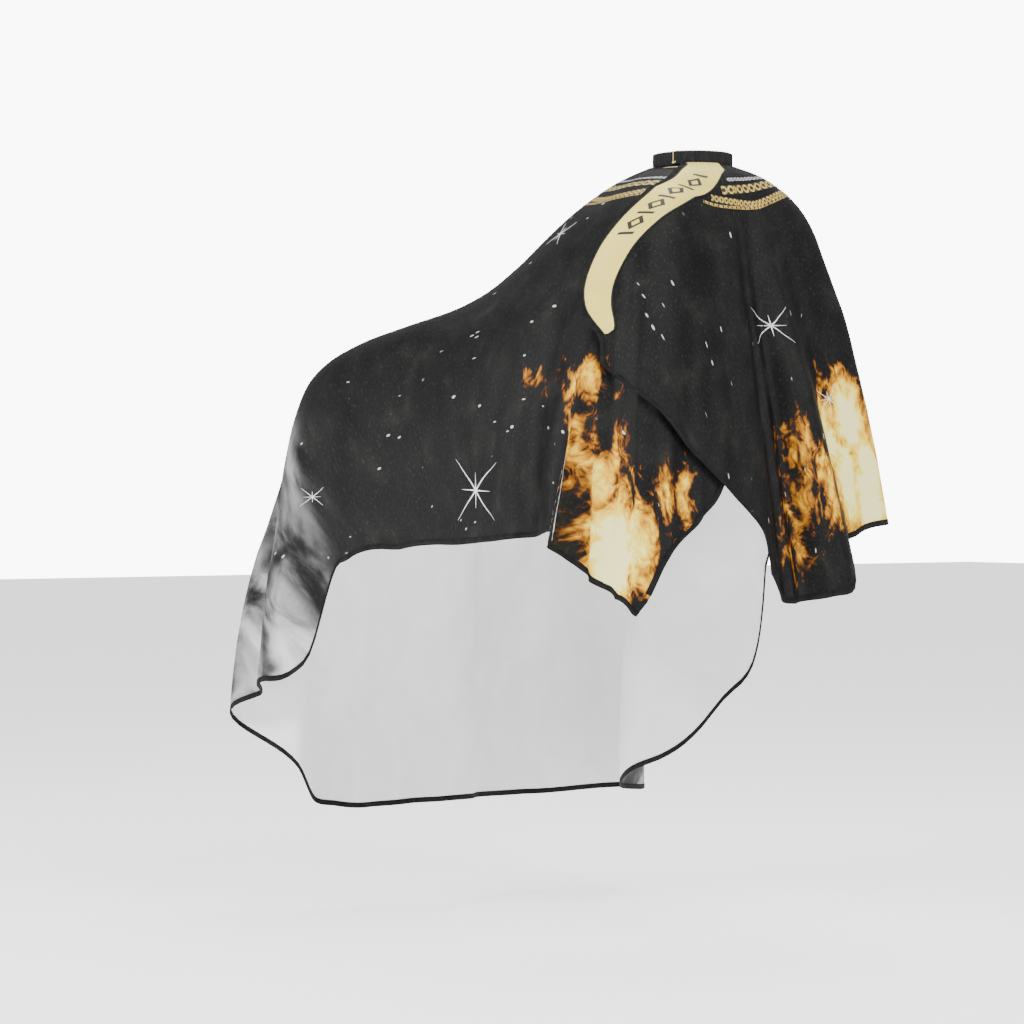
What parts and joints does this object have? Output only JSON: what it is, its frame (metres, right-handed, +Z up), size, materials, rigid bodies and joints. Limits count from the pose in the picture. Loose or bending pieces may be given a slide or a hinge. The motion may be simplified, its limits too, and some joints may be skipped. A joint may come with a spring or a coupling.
{
  "type": "barber cape",
  "caption": "Draped barber cape: wide printed sheet with bound hem, elastic neck band, contrast sash and an overlapping back flap that folds open, with a peel-back neck tab.",
  "frame": {"origin": "centre of the neck opening, in the plane of the seam between the sheet and the neck band", "axes": "+Z up along the neck; the client faces -Y, the closure is at the back at +Y, and the client's left side is +X"},
  "size_m": [0.8493, 1.1321, 1.1089],
  "materials": {
    "printed_cloth": "satin printed polyester",
    "binding": "woven binding",
    "sash_cloth": "smooth satin",
    "band_cloth": "gathered, matt",
    "elastic": "knitted elastic",
    "lining": "soft lining and piping",
    "hook_and_loop": "hook and loop tape"
  },
  "bodies": {
    "cape": {"cape_sheet": "printed_cloth", "hem_binding": "binding", "underlap_edge_binding": "binding", "neck_band": "band_cloth", "neck_lining": "lining", "neck_elastic": "elastic", "neck_seam_tape": "binding", "loop_patch": "hook_and_loop"},
    "flap": {"closure_flap": "printed_cloth", "flap_hem_binding": "binding", "flap_edge_binding": "binding", "sash_panel": "sash_cloth", "sash_outer_trim": "binding", "sash_inner_trim": "binding", "flap_band": "band_cloth", "flap_lining": "lining", "flap_elastic": "elastic", "flap_seam_tape": "binding"},
    "tab": {"tab_band": "band_cloth", "tab_lining": "lining", "tab_end_piping": "lining", "hook_patch": "hook_and_loop"}
  },
  "joints": [
    {"name": "flap_fold", "type": "hinge", "parent": "cape", "child": "flap", "pos_m": [-0.00534, 0.10186, 0], "axis": [0.0108, -0.2052, 0.9787], "range_deg": [0, 60]},
    {"name": "tab_peel", "type": "hinge", "parent": "flap", "child": "tab", "pos_m": [0.05075, 0.03965, 0.01], "axis": [0, 0, 1], "range_deg": [0, 70]}
  ]
}
